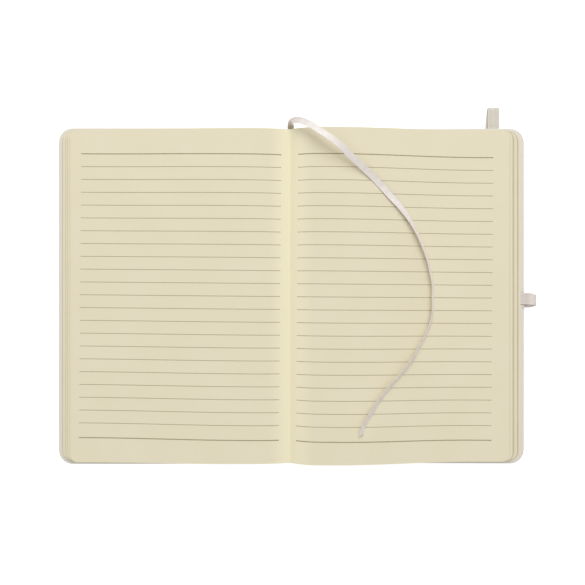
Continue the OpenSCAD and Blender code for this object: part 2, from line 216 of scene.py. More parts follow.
def makeRibbon():
    route = curveThrough(ribbonRoute, 6)
    half, thick = ribbonLook["width"] / 2, ribbonLook["thickness"] / 2
    # the selvedges are a little thicker than the web between them
    section = [
        (1, 0.35), (0.97, 0.85), (0.9, 1), (0.82, 0.75), (0.4, 0.7), (0, 0.7), (-0.4, 0.7),
        (-0.82, 0.75), (-0.9, 1), (-0.97, 0.85), (-1, 0.35), (-1, -0.35), (-0.97, -0.85),
        (-0.9, -1), (-0.82, -0.75), (-0.4, -0.7), (0, -0.7), (0.4, -0.7), (0.82, -0.75),
        (0.9, -1), (0.97, -0.85), (1, -0.35),
    ]
    rings, uvs, centres = [], [], []
    run = 0
    for i, here in enumerate(route):
        place = Vector(here[:3])
        before = Vector(route[max(i - 1, 0)][:3])
        after = Vector(route[min(i + 1, len(route) - 1)][:3])
        along = (after - before).normalized()
        run += (place - before).length
        level = along.cross(Vector((0, 0, 1))).normalized()
        up = level.cross(along)
        turn = math.radians(here[3])
        across = level * math.cos(turn) + up * math.sin(turn)
        outward = along.cross(across)
        slant = ribbonLook["cutSlant"] if i == len(route) - 1 else 0
        rings.append([
            tuple(place + across * a * half + outward * t * thick + along * slant * (a - 1) / 2)
            for a, t in section
        ])
        uvs.append([(run, a * half) for a, t in section + section[:1]])
        centres.append([c * mm for c in place])
    ribbon = sweep("ribbonMarker", rings, uvs, wovenSatin("wovenPolyesterSatin"))
    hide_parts("ribbon_marker")
    print("ribbon run", round(run, 1), "mm")
    return ribbon


ribbon = makeRibbon()
# it turns over this long way so that the closed book holds it between the covers
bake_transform(ribbon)
print("ribbon made")


# Leaves: four gatherings on each side, each a stack of leaves that fans out at its fore-edge.
# foreEdges and slopes go from the cover up, and bends holds where each one's turning starts and
# ends, fitted so that the closed leaves stay between the covers
block = dict(
    height=206.3, cornerRadius=6.5, cornerGain=1.5, gutterX=-0.8, gutterZ=10, backZ=2.3,
    backHalf=4.8, leavesZ=3.07, humpFall=93, hollowPeak=16,
    rows=24, rise=4, main=38, corner=14, crowding=1.4,  # how finely a leaf is divided
    waveHeight=0.22, waveAlong=42, waveAcross=55,
)
halves = dict(
    left=dict(
        sign=-1, body="front_cover", stack=6.3, hump=3.9, crest=32,
        hollow=2, hollowFall=40, leafGroups=5,
        foreEdges=(143.3, 140.9, 139.15, 137.3), slopes=(0.9, 0.75, 0.7, 0.6),
        bends=[((4.02, 0.48), (10.15, 1.22)), ((0.16, 1.4), (1.33, 11.76)),
               ((0.1, 0.81), (1.89, 15.52)), ((0, 0.03), (2.19, 19.18))],
    ),
    right=dict(
        sign=1, body="back_cover", stack=3.3, hump=9.6, crest=24,
        hollow=6, hollowFall=68, leafGroups=3,
        foreEdges=(141.1, 139.2, 137.8, 135.7), slopes=(1.1, 0.3, 1, 0.35),
        bends=[((-0.77, -3.24), (5.08, 21.52)), ((-0.28, -1.22), (5.53, 23.93)),
               ((-0.31, -1.24), (7.1, 28.06)), ((-0.34, -1.18), (9.52, 32.89))],
    ),
)
paperLook = dict(
    colour="#E7DFC5", cloudColour="#E3DABE", fleckColour="#DAD0B3", gutterHighlightColour="#F1E9C9",
    roughness=0.88,
    edgeColour="#D6CCB2", gapShadeColour="#A3977A", leafPitch=0.3,
)


def uncoatedPaper(name):
    # uncoated cream book paper: matt, faint clouds from the wet sheet and a fine fibre tooth
    material, tree, shader = startMaterial(name, {"IOR": 1.5, "Specular IOR Level": 0.3})
    sheet = addNode(tree, "ShaderNodeUVMap", {"uv_map": "sheet"})
    cloud = addNode(tree, "ShaderNodeTexNoise", {
        "Scale": 1 / 26, "Detail": 3, "noise_dimensions": "2D"}, {"Vector": sheet.outputs["UV"]})
    # fibres are 0.02 mm wide, and drawn as flecks of 0.7 mm so that they show
    fleck = addNode(tree, "ShaderNodeTexNoise", {
        "Scale": 1 / 0.7, "Detail": 4, "noise_dimensions": "2D"}, {"Vector": sheet.outputs["UV"]})
    clouded = addNode(tree, "ShaderNodeMix", {
        "data_type": "RGBA", 6: linear(paperLook["colour"]), 7: linear(paperLook["cloudColour"])},
        {0: cloud.outputs["Fac"]})
    amount = addNode(tree, "ShaderNodeMapRange", {
        "From Min": 0.45, "From Max": 0.85, "To Max": 0.3}, {"Value": fleck.outputs["Fac"]})
    colour = addNode(tree, "ShaderNodeMix", {
        "data_type": "RGBA", 7: linear(paperLook["fleckColour"])},
        {0: amount.outputs[0], 6: clouded.outputs[2]})
    # painted highlight: the leaves are painted paler beside the gutter, for the light that falls
    # on the slopes there
    parts = addNode(tree, "ShaderNodeSeparateXYZ", {}, {0: sheet.outputs["UV"]})
    outward = addNode(tree, "ShaderNodeMath", {"operation": "ABSOLUTE"}, {0: parts.outputs["X"]})
    paintedGutterHighlight = addNode(tree, "ShaderNodeMapRange", {
        "From Min": 203, "From Max": 215, "To Min": 0.75, "To Max": 0,
        "interpolation_type": "SMOOTHSTEP"}, {"Value": outward.outputs[0]})
    paintedLightMix = addNode(tree, "ShaderNodeMix", {
        "data_type": "RGBA", 7: linear(paperLook["gutterHighlightColour"])},
        {0: paintedGutterHighlight.outputs[0], 6: colour.outputs[2]})
    rough = addNode(tree, "ShaderNodeMapRange", {
        "To Min": paperLook["roughness"] - 0.06, "To Max": paperLook["roughness"] + 0.06},
        {"Value": fleck.outputs["Fac"]})
    bump = addNode(tree, "ShaderNodeBump", {
        "Strength": 0.35, "Distance": 0.00003}, {"Height": fleck.outputs["Fac"]})
    tree.links.new(paintedLightMix.outputs[2], shader.inputs["Base Color"])
    tree.links.new(rough.outputs[0], shader.inputs["Roughness"])
    tree.links.new(bump.outputs["Normal"], shader.inputs["Normal"])
    return material


def guillotinedEdge(name):
    # the cut edges of the leaves: fine pale lines with painted shade in the thin gaps between
    # them, uneven where leaves part
    material, tree, shader = startMaterial(name, {"IOR": 1.5, "Specular IOR Level": 0.3})
    sheet = addNode(tree, "ShaderNodeUVMap", {"uv_map": "sheet"})
    parts = addNode(tree, "ShaderNodeSeparateXYZ", {}, {0: sheet.outputs["UV"]})
    wander = addNode(tree, "ShaderNodeTexNoise", {
        "Scale": 0.05, "Detail": 2, "noise_dimensions": "2D"}, {"Vector": sheet.outputs["UV"]})
    # a leaf is 0.1 mm thick, and three are drawn as one
    phase = addNode(tree, "ShaderNodeMath", {
        "operation": "MULTIPLY", 1: 2 * math.pi / paperLook["leafPitch"]},
        {0: parts.outputs["Y"]})
    line = addNode(tree, "ShaderNodeMath", {"operation": "COSINE"}, {0: phase.outputs[0]})
    uneven = addNode(tree, "ShaderNodeMath", {
        "operation": "MULTIPLY_ADD", 1: 0.5}, {0: wander.outputs["Fac"], 2: line.outputs[0]})
    # painted shade: the gaps between the leaves are painted dark
    gapShade = addNode(tree, "ShaderNodeMapRange", {
        "From Min": 0, "From Max": 1.3, "To Max": 0.7}, {"Value": uneven.outputs[0]})
    colour = addNode(tree, "ShaderNodeMix", {
        "data_type": "RGBA", 6: linear(paperLook["edgeColour"]),
        7: linear(paperLook["gapShadeColour"])}, {0: gapShade.outputs[0]})
    rough = addNode(tree, "ShaderNodeMapRange", {
        "To Min": 0.85, "To Max": 0.95}, {"Value": wander.outputs["Fac"]})
    bump = addNode(tree, "ShaderNodeBump", {
        "Strength": 0.6, "Distance": 0.00006, "invert": True}, {"Height": gapShade.outputs[0]})
    tree.links.new(colour.outputs[2], shader.inputs["Base Color"])
    tree.links.new(rough.outputs[0], shader.inputs["Roughness"])
    tree.links.new(bump.outputs["Normal"], shader.inputs["Normal"])
    return material


def coverTop(half, u):
    return block["leavesZ"] + (0 if half["sign"] < 0 else (u - foldX) * math.tan(lift))


def pageTop(half, reach):
    # height of the top leaf at a distance from the gutter
    gutterU = half["sign"] * block["gutterX"]
    peak = coverTop(half, half["crest"] + gutterU) + half["stack"] + half["hump"]
    if reach < half["crest"]:
        return peak - (peak - block["gutterZ"]) * (1 - reach / half["crest"]) ** 3
    fall = min(1, (reach - half["crest"]) / block["humpFall"])
    wave = math.cos(math.pi / 2 * fall) ** 2
    return coverTop(half, reach + gutterU) + half["stack"] + half["hump"] * wave


def pageUnder(half, reach):
    # height of the lowest leaf at a distance from the edge of the block's back
    peak = coverTop(half, block["hollowPeak"] + block["backHalf"]) + half["hollow"]
    if reach < block["hollowPeak"]:
        return peak - (peak - block["backZ"]) * (1 - reach / block["hollowPeak"]) ** 3
    fall = min(1, (reach - block["hollowPeak"]) / half["hollowFall"])
    wave = math.cos(math.pi / 2 * fall) ** 2
    return coverTop(half, reach + block["backHalf"]) + half["hollow"] * wave


def sheetCurve(half, depth, edge):
    # one leaf from the block's back to its fore-edge: distance outward, height, half its height
    radius = block["cornerRadius"] - block["cornerGain"] * depth
    flatEnd = edge - radius
    gutterU = half["sign"] * block["gutterX"]
    rise, main, corner, crowding = (block[k] for k in ("rise", "main", "corner", "crowding"))
    curve = []
    for i in range(rise + main + corner + 1):
        halfHeight = block["height"] / 2
        if i <= rise + main:
            topU, topZ = gutterU, block["backZ"] + (block["gutterZ"] - block["backZ"]) * i / rise
            if i >= rise:
                reach = (flatEnd - gutterU) * ((i - rise) / main) ** crowding
                topU, topZ = reach + gutterU, pageTop(half, reach)
            reach = (flatEnd - block["backHalf"]) * (i / (rise + main)) ** crowding
            lowU, lowZ = reach + block["backHalf"], pageUnder(half, reach)
        else:
            turn = math.pi / 2 * (i - rise - main) / corner
            topU = lowU = flatEnd + radius * math.sin(turn)
            topZ = pageTop(half, topU - gutterU)
            lowZ = pageUnder(half, lowU - block["backHalf"])
            halfHeight -= radius * (1 - math.cos(turn))
        curve.append((lowU + (topU - lowU) * depth, lowZ + (topZ - lowZ) * depth, halfHeight))
    return curve


def unevenness(u, y, depth):
    # paper never lies quite flat: a slow wave that fades out towards the gutter
    fade = min(1, max(0, (u - 6) / 30)) * depth
    place = Vector((u / block["waveAlong"], y / block["waveAcross"], 3.7))
    return block["waveHeight"] * fade * noise.noise(place)


def makeGathering(name, half, number, paper, cutEdge):
    low, high = number / 4, (number + 1) / 4
    edge, slope = half["foreEdges"][number], half["slopes"][number]
    groups = half["leafGroups"]
    step = (high - low) / groups
    profile = []  # depth, how far in the point lies, fore-edge, shift at head and tail, leaves
    for g in range(groups):
        groupEdge = edge + slope * (1 - g / (groups - 1)) + random.uniform(-0.04, 0.04)
        shift = random.uniform(-0.1, 0.1)
        start = low + g * step
        if g:
            profile.append((start, 0.3, groupEdge, shift, g))
        profile.append((start + 0.12 * step, 0, groupEdge, shift, g + 0.25))
        profile.append((start + 0.88 * step, 0, groupEdge, shift, g + 0.75))
    profile[0] = (low + 0.002, 0.08, *profile[0][2:])
    profile[-1] = (high - 0.002, 0.02, *profile[-1][2:])
    if number == 3:
        profile[-1] = (1, 0.02, *profile[-1][2:])
    curves = [sheetCurve(half, p[0], p[2] - p[1]) for p in profile]
    rows = block["rows"]
    points, index = [], {}

    def at(k, c, r):
        if (k, c, r) not in index:
            depth, inset, _, shift, _ = profile[k]
            u, z, halfHeight = curves[k][c]
            across = 2 * r / rows - 1
            y = across * (halfHeight - inset + shift * (1 if across > 0 else -0.7))
            if c > 30:
                wander = noise.noise(Vector((y / 40, number * 3 + 0.2 * profile[k][0], 1.3)))
                u += 0.1 * wander * min(1, (c - 30) / 12)
            index[(k, c, r)] = len(points)
            points.append((half["sign"] * u, y, z + unevenness(u, y, depth)))
        return index[(k, c, r)]

    faces, kinds, uvs = [], [], []

    def patch(corners, kind, uvOf):
        faces.append(tuple(at(*corner) for corner in corners))
        kinds.append(kind)
        uvs.append(tuple(uvOf(*corner) for corner in corners))

    def onPage(k, c, r):
        return (half["sign"] * (curves[k][c][0] + 200), (2 * r / rows - 1) * curves[k][c][2])

    def onHead(k, c, r):
        return (curves[k][c][0], profile[k][4] * paperLook["leafPitch"])

    def onFore(k, c, r):
        return ((2 * r / rows - 1) * curves[k][c][2], profile[k][4] * paperLook["leafPitch"])

    top, end = len(profile) - 1, len(curves[0]) - 1
    for c in range(end):
        for r in range(rows):
            for k in (0, top):
                patch([(k, c, r), (k, c + 1, r), (k, c + 1, r + 1), (k, c, r + 1)], 0, onPage)
        for k in range(top):
            for r in (0, rows):
                patch([(k, c, r), (k, c + 1, r), (k + 1, c + 1, r), (k + 1, c, r)], 1, onHead)
    for r in range(rows):
        for k in range(top):
            for c in (0, end):
                patch([(k, c, r), (k, c, r + 1), (k + 1, c, r + 1), (k + 1, c, r)], 1, onFore)
    piece = makeMesh(name, points, faces, [paper, cutEdge], kinds, uvs, 32)
    bend(piece)
    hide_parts("page_block")
    half["topCurve"] = curves[top]
    return piece


def bend(piece):
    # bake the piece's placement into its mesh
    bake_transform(piece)


paper = uncoatedPaper("uncoatedCreamPaper")
cutEdge = guillotinedEdge("guillotinedPaperEdge")
for sideName, half in halves.items():
    for number in range(4):
        makeGathering(sideName + "Leaves" + str(number + 1), half, number, paper, cutEdge)
print("leaves made")


# Printed ruling: thin strips of ink on the top leaf of each side
ruling = dict(
    pitch=7.94, foot=9.1, count=21, thin=0.37, heavy=0.58, above=0.03,
    thinColour="#A99E80", heavyColour="#988D6E", patchColour="#BDB292",
)
ruling["left"] = dict(length=124, start=6.2, up=-0.3, turn=0.52)
ruling["right"] = dict(length=121.5, start=4.2, up=-1.4, turn=0.42)


def printedInk(name, colour):
    # offset ink sunk into uncoated paper: matt, and lighter where the tooth takes less of it
    material, tree, shader = startMaterial(name, {
        "Roughness": 0.8, "IOR": 1.5, "Specular IOR Level": 0.3})
    sheet = addNode(tree, "ShaderNodeUVMap", {"uv_map": "sheet"})
    tooth = addNode(tree, "ShaderNodeTexNoise", {
        "Scale": 1 / 1.1, "Detail": 3, "noise_dimensions": "2D"}, {"Vector": sheet.outputs["UV"]})
    amount = addNode(tree, "ShaderNodeMapRange", {
        "From Min": 0.4, "From Max": 0.8, "To Max": 0.5}, {"Value": tooth.outputs["Fac"]})
    mixed = addNode(tree, "ShaderNodeMix", {
        "data_type": "RGBA", 6: linear(colour), 7: linear(ruling["patchColour"])},
        {0: amount.outputs[0]})
    bump = addNode(tree, "ShaderNodeBump", {
        "Strength": 0.2, "Distance": 0.00001}, {"Height": tooth.outputs["Fac"]})
    tree.links.new(mixed.outputs[2], shader.inputs["Base Color"])
    tree.links.new(bump.outputs["Normal"], shader.inputs["Normal"])
    return material


def makeRuling(sideName, half, inks):
    place = ruling[sideName]
    curve = half["topCurve"]
    startU = half["sign"] * block["gutterX"] + place["start"]
    full = ruling["pitch"] * ruling["count"] + ruling["foot"]
    points, faces, kinds, uvs = [], [], [], []
    for line in range(ruling["count"] + 2):
        down = line * ruling["pitch"] if line <= ruling["count"] else full
        y = full / 2 - down
        heavy = line in (0, ruling["count"] + 1)
        width = ruling["heavy"] if heavy else ruling["thin"]
        fromU = startU + half["sign"] * y * math.sin(math.radians(place["turn"]))
        toU = fromU + place["length"]
        stops = [fromU] + [p[0] for p in curve[5:] if fromU < p[0] < toU] + [toU]
        middle = fromU + place["length"] / 2
        for i, u in enumerate(stops):
            k = next(j for j in range(5, len(curve)) if curve[j][0] >= u)
            a, b = curve[k - 1], curve[k]
            z = a[1] + (b[1] - a[1]) * (u - a[0]) / (b[0] - a[0])
            drop = half["sign"] * (u - middle) * math.tan(math.radians(place["turn"]))
            for edge in (-0.5, 0.5):
                lineY = place["up"] + y - drop + edge * width
                raised = unevenness(u, lineY, 1) + ruling["above"]
                points.append((half["sign"] * u, lineY, z + raised))
            if i:
                n = len(points)
                faces.append((n - 4, n - 2, n - 1, n - 3))
                kinds.append(1 if heavy else 0)
                uvs.append(tuple((points[j][0] + 7 * line, points[j][1]) for j in faces[-1]))
    piece = makeMesh(sideName + "Ruling", points, faces, inks, kinds, uvs)
    bend(piece)
    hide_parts(sideName + "_ruling")
    return piece


inks = [printedInk("offsetInkThin", ruling["thinColour"]),
        printedInk("offsetInkHeavy", ruling["heavyColour"])]
for sideName, half in halves.items():
    makeRuling(sideName, half, inks)
print("ruling made")


# Cover: one sheet of imitation leather over both boards and the spine
cover = dict(
    width=138.5, leftExtra=0.8, height=210, spread=0.55, spreadLeft=0.35, radius=8.8,
    turnIn=14, spineTop=2, jointTop=1, boardTop=2.9, grooveDepth=0.22, grain=0.75,
    colour="#E1DBCF", deepColour="#CEC7BA", roughness=0.5,
)


def embossedLeather(name):
    # embossed polyurethane leather: a fine pebble pressed into a soft skin, satin on its tops
    material, tree, shader = startMaterial(name, {
        "IOR": 1.5, "Specular IOR Level": 0.45, "Coat Weight": 0.05, "Coat Roughness": 0.4})
    sheet = addNode(tree, "ShaderNodeUVMap", {"uv_map": "sheet"})
    pebble = addNode(tree, "ShaderNodeTexVoronoi", {
        "feature": "DISTANCE_TO_EDGE", "Scale": 1 / cover["grain"], "voronoi_dimensions": "2D"},
        {"Vector": sheet.outputs["UV"]})
    dome = addNode(tree, "ShaderNodeMapRange", {
        "From Max": 0.28, "interpolation_type": "SMOOTHSTEP"},
        {"Value": pebble.outputs["Distance"]})
    wrinkle = addNode(tree, "ShaderNodeTexNoise", {
        "Scale": 1 / 5, "Detail": 4, "noise_dimensions": "2D"}, {"Vector": sheet.outputs["UV"]})
    height = addNode(tree, "ShaderNodeMath", {
        "operation": "MULTIPLY_ADD", 1: 0.8}, {0: wrinkle.outputs["Fac"], 2: dome.outputs[0]})
    tone = addNode(tree, "ShaderNodeMath", {
        "operation": "MULTIPLY_ADD", 1: -0.35, 2: 0.45, "use_clamp": True},
        {0: height.outputs[0]})
    colour = addNode(tree, "ShaderNodeMix", {
        "data_type": "RGBA", 6: linear(cover["colour"]), 7: linear(cover["deepColour"])},
        {0: tone.outputs[0]})
    rough = addNode(tree, "ShaderNodeMapRange", {
        "From Max": 1.4, "To Min": cover["roughness"] + 0.14, "To Max": cover["roughness"] - 0.04},
        {"Value": height.outputs[0]})
    bump = addNode(tree, "ShaderNodeBump", {
        "Strength": 0.55, "Distance": 0.00006}, {"Height": height.outputs[0]})
    tree.links.new(colour.outputs[2], shader.inputs["Base Color"])
    tree.links.new(rough.outputs[0], shader.inputs["Roughness"])
    tree.links.new(bump.outputs["Normal"], shader.inputs["Normal"])
    return material


def smoothStep(value, low, high):
    t = min(1, max(0, (value - low) / (high - low)))
    return t * t * (3 - 2 * t)


def onCover(sign, u, y, z):
    # a point of a cover lying flat, turned up with the back cover where it is that one
    if sign < 0:
        u += cover["leftExtra"] * smoothStep(u, 100, 140)
    # the sheet is a little taller than its boards, most of all on the left
    spread = cover["spread"] - cover["spreadLeft"] * sign * smoothStep(u, 0, 60)
    y *= 1 + spread * 2 / cover["height"]
    if sign > 0:
        turn = lift * smoothStep(u, 5.5, 12.5)
        along, above = u - foldX, z - foldZ
        u = foldX + along * math.cos(turn) - above * math.sin(turn)
        z = foldZ + along * math.sin(turn) + above * math.cos(turn)
    return (sign * u, y, z)


def edgeStations(firstU):
    # round the cover's edge from the head, past the fore-edge, to the tail
    farU, halfH, radius = foldX + cover["width"], cover["height"] / 2, cover["radius"]
    us = [u for u in [0, 2, 4, 5, 5.5] + [6 + 0.35 * i for i in range(21)] if u >= firstU]
    us += [14, 16, 30, 60, 90, 120, farU - radius]
    head = [("head", u, halfH) for u in us]
    arc = [("corner", math.radians(90 * i / 10), 1) for i in range(1, 10)]
    fore = [("fore", farU, (halfH - radius) * (1 - i / 4)) for i in range(9)]
    back = [("corner", a[1], -1) for a in reversed(arc)]
    tail = [("head", u, -halfH) for u in reversed(us)]
    return head + arc + fore + back + tail


def stationPoint(station, inset):
    kind, a, b = station
    farU, halfH, radius = foldX + cover["width"], cover["height"] / 2, cover["radius"]
    if kind == "head":
        return min(a, farU - inset), math.copysign(halfH - inset, b)
    if kind == "fore":
        limit = halfH - inset
        return farU - inset, max(-limit, min(limit, b))
    if inset <= radius:
        return (farU - radius + (radius - inset) * math.sin(a),
                b * (halfH - radius + (radius - inset) * math.cos(a)))
    return farU - inset, b * (halfH - inset)


def coverHeight(u):
    # the wrap's top: over the spine strip, down into the joint and up onto the board
    joint, spine, board = cover["jointTop"], cover["spineTop"], cover["boardTop"]
    return (spine - (spine - joint) * smoothStep(u, 5.6, 6.4)
            + (board - joint) * smoothStep(u, 11.7, 12.6))


def groove(u):
    # the joint is pressed in a little from outside
    return cover["grooveDepth"] * smoothStep(u, 6.5, 8.5) * (1 - smoothStep(u, 9.5, 12))


def makeWrap(name, sign, leather):
    stations = edgeStations(0)
    points, faces, uvs, loops = [], [], [], []
    for station in stations:
        u0, _ = stationPoint(station, 0)
        top, low = coverHeight(u0), groove(u0)
        soft = min(1, top / 2.9)
        profile = [
            (3.2, low), (1.4, low), (0.7, low + 0.05), (0.28, low + 0.22 * soft + 0.02),
            (0.06, 0.6 * soft + low), (0, 0.5 * top), (0.05, top - 0.62 * soft),
            (0.24, top - 0.25 * soft), (0.62, top - 0.05), (1.2, top), (2.4, top),
            (6, top), (10, top), (cover["turnIn"], top), (cover["turnIn"], top - 0.45),
            (0.5, top - 0.45), (0.5, 0.5), (3.2, 0.5),
        ]
        loop = []
        for inset, z in profile:
            u, y = stationPoint(station, inset)
            loop.append(len(points))
            points.append(onCover(sign, u, y, z))
        loops.append(loop)
    count = len(profile)
    lengths = [0]
    for i in range(1, count):
        lengths.append(lengths[-1] + math.dist(profile[i], profile[i - 1]))
    along = 0
    for s in range(len(stations) - 1):
        a = stationPoint(stations[s], 1)
        b = stationPoint(stations[s + 1], 1)
        nextAlong = along + math.dist(a, b)
        for i in range(count - 1):
            quad = (loops[s][i], loops[s][i + 1], loops[s + 1][i + 1], loops[s + 1][i])
            faces.append(quad)
            uvs.append(((along, lengths[i]), (along, lengths[i + 1]),
                        (nextAlong, lengths[i + 1]), (nextAlong, lengths[i])))
        along = nextAlong
    # the panel outside and inside: strips across the spine and joint, and one field per board
    last = len(stations) - 1
    strips = [i for i in range(len(stations)) if stations[i][0] == "head" and stations[i][1] <= 16
              and stations[i][2] > 0]
    for side in (0, count - 1):
        for i in strips[:-1]:
            quad = (loops[i][side], loops[i + 1][side], loops[last - i - 1][side],
                    loops[last - i][side])
            faces.append(quad)
            uvs.append(tuple((points[p][0], points[p][1]) for p in quad))
        field = tuple(loops[i][side] for i in range(strips[-1], last - strips[-1] + 1))
        faces.append(field)
        uvs.append(tuple((points[p][0], points[p][1]) for p in field))
    return makeMesh(name, points, faces, [leather], None, uvs, 40)


leather = embossedLeather("embossedPolyurethaneLeather")
frontWrap = makeWrap("frontCoverWrap", -1, leather)
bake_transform(frontWrap)
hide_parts("front_wrap", "spine_wrap")
backWrap = makeWrap("backCoverWrap", 1, leather)
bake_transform(backWrap)
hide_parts("back_wrap", "spine_wrap")
print("cover made")


# Endpapers, pasted down over the boards and the turned-in edges of the wrap
endpaper = dict(rim=2.5, thickness=0.15, firstU=8.4)


def makeEndpaper(name, sign, paper):
    stations = edgeStations(endpaper["firstU"])
    thick = endpaper["thickness"]
    points, faces, loops = [], [], []
    for station in stations:
        u0, _ = stationPoint(station, 0)
        top = coverHeight(u0)
        low = top - 0.5 if u0 > 12.6 else 0.5
        profile = [
            (5, top - 0.02), (endpaper["rim"], top - 0.02), (endpaper["rim"], top + thick * 0.7),
            (endpaper["rim"] + 0.15, top + thick), (13.4, top + thick), (14, top + thick * 0.6),
            (14.7, low + thick + 0.1), (15.6, low + thick), (24, low + thick),
        ]
        loop = []
        for inset, z in profile:
            u, y = stationPoint(station, inset)
            loop.append(len(points))
            points.append(onCover(sign, max(u, endpaper["firstU"]), y, z))
        loops.append(loop)
    for s in range(len(stations) - 1):
        for i in range(len(profile) - 1):
            faces.append((loops[s][i], loops[s][i + 1], loops[s + 1][i + 1], loops[s + 1][i]))
    last = len(stations) - 1
    strips = [i for i in range(len(stations)) if stations[i][0] == "head" and stations[i][1] <= 16
              and stations[i][2] > 0]
    for i in strips[:-1]:
        faces.append((loops[i][-1], loops[i + 1][-1], loops[last - i - 1][-1],
                      loops[last - i][-1]))
    faces.append(tuple(loops[i][-1] for i in range(strips[-1], last - strips[-1] + 1)))
    uvs = [tuple((points[p][0] + 400, points[p][1]) for p in face) for face in faces]
    return makeMesh(name, points, faces, [paper], None, uvs, 40)


for name, sign, body in (("frontEndpaper", -1, "front_cover"), ("backEndpaper", 1, "back_cover")):
    piece = makeEndpaper(name, sign, paper)
    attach(piece, body)
    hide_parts("front_endpaper" if sign < 0 else "back_endpaper")
print("endpapers made")


# Elastic band and pen loop, both of ribbed webbing
webbing = dict(
    rib=0.78, ribDepth=0.07, thread=0.5,
    bandColour="#F8F5EA", bandShade="#BBB3A3", loopColour="#F4ECE6", loopShade="#D8CDC6",
)
band = dict(width=7.5, thickness=0.6, u=120.1, head=97.3, tail=-97.3, lean=0.05)
penLoop = dict(
    width=7.3, thickness=0.5, y=-1.6, centreU=142.2, centreZ=3.4, radius=3.1, taller=0.3,
    skew=1.9, pinch=0.76,
)


def elasticWebbing(name, colour, shade):
    # knitted elastic: rubber cores under polyester thread, in lengthwise ribs with short stitches
    material, tree, shader = startMaterial(name, {
        "Roughness": 0.75, "IOR": 1.5, "Sheen Weight": 0.25, "Sheen Roughness": 0.5,
        "Specular IOR Level": 0.35})
    sheet = addNode(tree, "ShaderNodeUVMap", {"uv_map": "sheet"})
    parts = addNode(tree, "ShaderNodeSeparateXYZ", {}, {0: sheet.outputs["UV"]})
    across = addNode(tree, "ShaderNodeMath", {
        "operation": "MULTIPLY", 1: 2 * math.pi / webbing["rib"]}, {0: parts.outputs["Y"]})
    rib = addNode(tree, "ShaderNodeMath", {"operation": "COSINE"}, {0: across.outputs[0]})
    # stitches are 0.3 mm long, and drawn as 0.5 mm
    along = addNode(tree, "ShaderNodeMath", {
        "operation": "MULTIPLY", 1: 2 * math.pi / webbing["thread"]}, {0: parts.outputs["X"]})
    slant = addNode(tree, "ShaderNodeMath", {
        "operation": "MULTIPLY_ADD", 1: 3.1}, {0: parts.outputs["Y"], 2: along.outputs[0]})
    stitch = addNode(tree, "ShaderNodeMath", {"operation": "SINE"}, {0: slant.outputs[0]})
    fuzz = addNode(tree, "ShaderNodeTexNoise", {
        "Scale": 1.2, "Detail": 4, "noise_dimensions": "2D"}, {"Vector": sheet.outputs["UV"]})
    height = addNode(tree, "ShaderNodeMath", {
        "operation": "MULTIPLY_ADD", 1: 0.45}, {0: stitch.outputs[0], 2: rib.outputs[0]})
    # painted shade: the webbing is painted darker down in the grooves between the ribs and
    # stitches, with a little random fuzz
    tone = addNode(tree, "ShaderNodeMapRange", {
        "From Min": 0.9, "From Max": -1.3, "To Max": 1.0}, {"Value": height.outputs[0]})
    paintedLightMix = addNode(tree, "ShaderNodeMath", {
        "operation": "MULTIPLY_ADD", 1: 0.3, "use_clamp": True},
        {0: fuzz.outputs["Fac"], 2: tone.outputs[0]})
    mixed = addNode(tree, "ShaderNodeMix", {
        "data_type": "RGBA", 6: linear(colour), 7: linear(shade)}, {0: paintedLightMix.outputs[0]})
    bump = addNode(tree, "ShaderNodeBump", {
        "Strength": 0.6, "Distance": 0.00006}, {"Height": height.outputs[0]})
    tree.links.new(mixed.outputs[2], shader.inputs["Base Color"])
    tree.links.new(bump.outputs["Normal"], shader.inputs["Normal"])
    return material


def ribbedSection(width, thickness):
    # the outline of a ribbed strip, with rounded edges
    steps = 40
    upper = []
    for i in range(steps + 1):
        a = -width / 2 + width * i / steps
        ends = min(1, math.sqrt(max(0, 1 - (2 * a / width) ** 12)) + 0.25)
        rib = webbing["ribDepth"] * (math.cos(2 * math.pi * a / webbing["rib"]) - 1) / 2
        upper.append((a, (thickness / 2 + rib) * ends))
    return upper + [(a, -t) for a, t in reversed(upper)]


def makeStrip(name, path, across, width, thickness, material, body):
    # path: distance outward from the fold line, Y and height on the back cover, share of the width
    section = ribbedSection(width, thickness)
    places = [Vector(onCover(1, foldX + p[0], p[1], p[2])) for p in path]
    rings, uvs = [], []
    run = 0
    for i, place in enumerate(places):
        before, after = places[max(i - 1, 0)], places[min(i + 1, len(places) - 1)]
        alongStrip = (after - before).normalized()
        side = (across - alongStrip * across.dot(alongStrip)).normalized()
        outward = alongStrip.cross(side)
        run += (place - before).length
        rings.append([tuple(place + side * a * path[i][3] + outward * t) for a, t in section])
        uvs.append([(run, a) for a, t in section + section[:1]])
    piece = sweep(name, rings, uvs, material)
    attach(piece, body)
    return piece


def makeBand():
    u, lean = band["u"], band["lean"]
    high, low = -0.3, -1.1
    route = [
        (0, band["head"], 2.3, 1), (0, band["head"], 0.9, 1), (0, band["head"] + 0.15, 0.15, 1),
        (0, band["head"] + 0.8, high, 1), (0, 102, high, 1), (0.1, 108, high, 1),
        (0.4 * lean, 112, high + 0.05, 1), (0.8 * lean, 115.5, high + 0.25, 1),
        (lean, 117.5, 0.02, 0.99), (lean, 118.4, -0.2, 0.95), (lean, 118.7, -0.52, 0.92),
        (lean, 118.45, -0.85, 0.95), (0.8 * lean, 117.4, low + 0.05, 1),
        (-0.4, 113, low, 1), (-0.9, 108, low, 1), (-0.7, 102, low, 1),
        (0, 90, low, 1), (0, 40, low, 1), (0, -40, low, 1), (0, -90, low, 1),
        (0, band["tail"] + 0.8, low, 1), (0, band["tail"] + 0.1, low + 0.35, 1),
        (0, band["tail"], 0, 1), (0, band["tail"], 2.3, 1),
    ]
    path = [(u + p[0], *p[1:]) for p in curveThrough(route, 4)]
    material = elasticWebbing("knittedElasticBand", webbing["bandColour"], webbing["bandShade"])
    piece = makeStrip("elasticBand", path, Vector((1, 0, 0)), band["width"], band["thickness"],
                      material, "back_cover")
    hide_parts("elastic_band")


